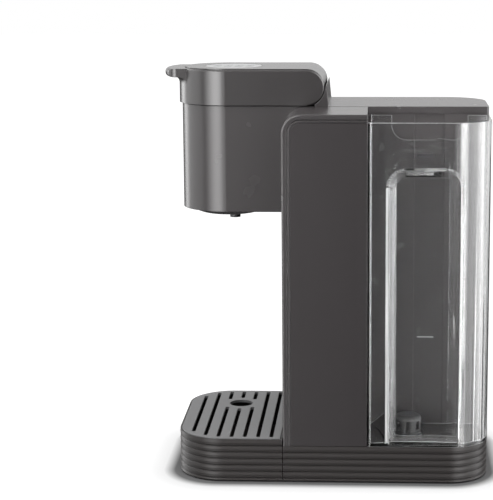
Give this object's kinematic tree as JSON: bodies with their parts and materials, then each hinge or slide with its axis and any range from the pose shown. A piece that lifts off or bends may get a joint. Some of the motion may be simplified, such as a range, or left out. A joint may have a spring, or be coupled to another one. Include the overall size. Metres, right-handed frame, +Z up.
{
  "type": "pod coffee machine",
  "caption": "Slim single-serve pod coffee machine with an overhanging brew head, hinged lid with keys, clear lift-off side reservoir and a ribbed base with a drip tray.",
  "frame": {"origin": "middle of the footprint, on the surface the machine stands on", "axes": "+Z up; -Y towards the front, where the cup stands; +X towards the reservoir's side"},
  "size_m": [0.144, 0.2656, 0.325],
  "materials": {
    "shell": "satin dark warm grey moulded plastic",
    "ribbed": "satin dark grey ribbed plastic",
    "tray": "satin dark grey ribbed plastic",
    "grate": "mid grey satin plastic",
    "top_trim": "satin grey plastic top plate",
    "control": "light silver satin panel",
    "button": "satin grey key",
    "clear": "clear moulded plastic",
    "inner_plastic": "black engineering plastic",
    "rubber": "matt black rubber",
    "silicone": "translucent white silicone",
    "steel": "stainless steel",
    "board": "green circuit board",
    "mesh": "grey moulded filter"
  },
  "bodies": {
    "machine": {"base_housing": "ribbed", "base_plate": "inner_plastic", "rubber_feet": "rubber", "tower_housing": "shell", "side_panel": "shell", "core_housing": "shell", "rear_cover": "shell", "cord_gland": "rubber", "top_deck": "shell", "head_housing": "shell", "head_underside": "shell", "brew_nozzle": "inner_plastic", "pod_holder": "inner_plastic", "exit_needle": "steel", "hinge_pins": "steel", "lid_switch": "inner_plastic", "tank_socket": "inner_plastic", "socket_seal": "silicone", "inlet_hose": "silicone", "water_pump": "inner_plastic", "pump_mount": "rubber", "pump_hose": "silicone", "boiler": "steel", "boiler_stand": "inner_plastic", "heating_element": "steel", "thermostat": "steel", "brew_hose": "silicone", "power_board": "board", "housing_screws": "steel"},
    "lid": {"lid_shell": "shell", "lid_top_plate": "top_trim", "control_disc": "control", "button_board": "board", "lid_inner_cover": "inner_plastic", "pod_seal": "silicone", "inlet_needle": "steel", "lid_tube": "silicone"},
    "reservoir": {"reservoir_tank": "clear", "reservoir_pocket": "clear", "reservoir_floor": "clear", "tank_valve_body": "mesh", "tank_filter": "mesh", "valve_spring": "steel"},
    "poppet": {"valve_poppet": "inner_plastic"},
    "tray": {"drip_tray": "tray", "tray_feet": "rubber"},
    "grate": {"drip_grate": "grate"},
    "power_button": {"power_button": "button"},
    "size_button_small": {"size_button_small": "button"},
    "size_button_medium": {"size_button_medium": "button"},
    "size_button_large": {"size_button_large": "button"}
  },
  "joints": [
    {"name": "lid_hinge", "type": "hinge", "parent": "machine", "child": "lid", "pos_m": [-0.031, -0.01435, 0.3104], "axis": [-1, 0, 0], "range_deg": [0, 60]},
    {"name": "reservoir_lift", "type": "slide", "parent": "machine", "child": "reservoir", "axis": [0, 0, 1], "range_m": [0, 0.305]},
    {"name": "valve_lift", "type": "slide", "parent": "reservoir", "child": "poppet", "axis": [0, 0, 1], "range_m": [0, 0.003], "stiffness_N_per_m": 60, "deforming": ["valve_spring"]},
    {"name": "tray_slide", "type": "slide", "parent": "machine", "child": "tray", "axis": [0, -1, 0], "range_m": [0, 0.1]},
    {"name": "grate_lift", "type": "slide", "parent": "tray", "child": "grate", "axis": [0, 0, 1], "range_m": [0, 0.06]},
    {"name": "power_button_press", "type": "slide", "parent": "lid", "child": "power_button", "axis": [0, 0, -1], "range_m": [0, 0.0008], "stiffness_N_per_m": 400},
    {"name": "size_button_small_press", "type": "slide", "parent": "lid", "child": "size_button_small", "axis": [0, 0, -1], "range_m": [0, 0.0008], "stiffness_N_per_m": 400},
    {"name": "size_button_medium_press", "type": "slide", "parent": "lid", "child": "size_button_medium", "axis": [0, 0, -1], "range_m": [0, 0.0008], "stiffness_N_per_m": 400},
    {"name": "size_button_large_press", "type": "slide", "parent": "lid", "child": "size_button_large", "axis": [0, 0, -1], "range_m": [0, 0.0008], "stiffness_N_per_m": 400}
  ]
}
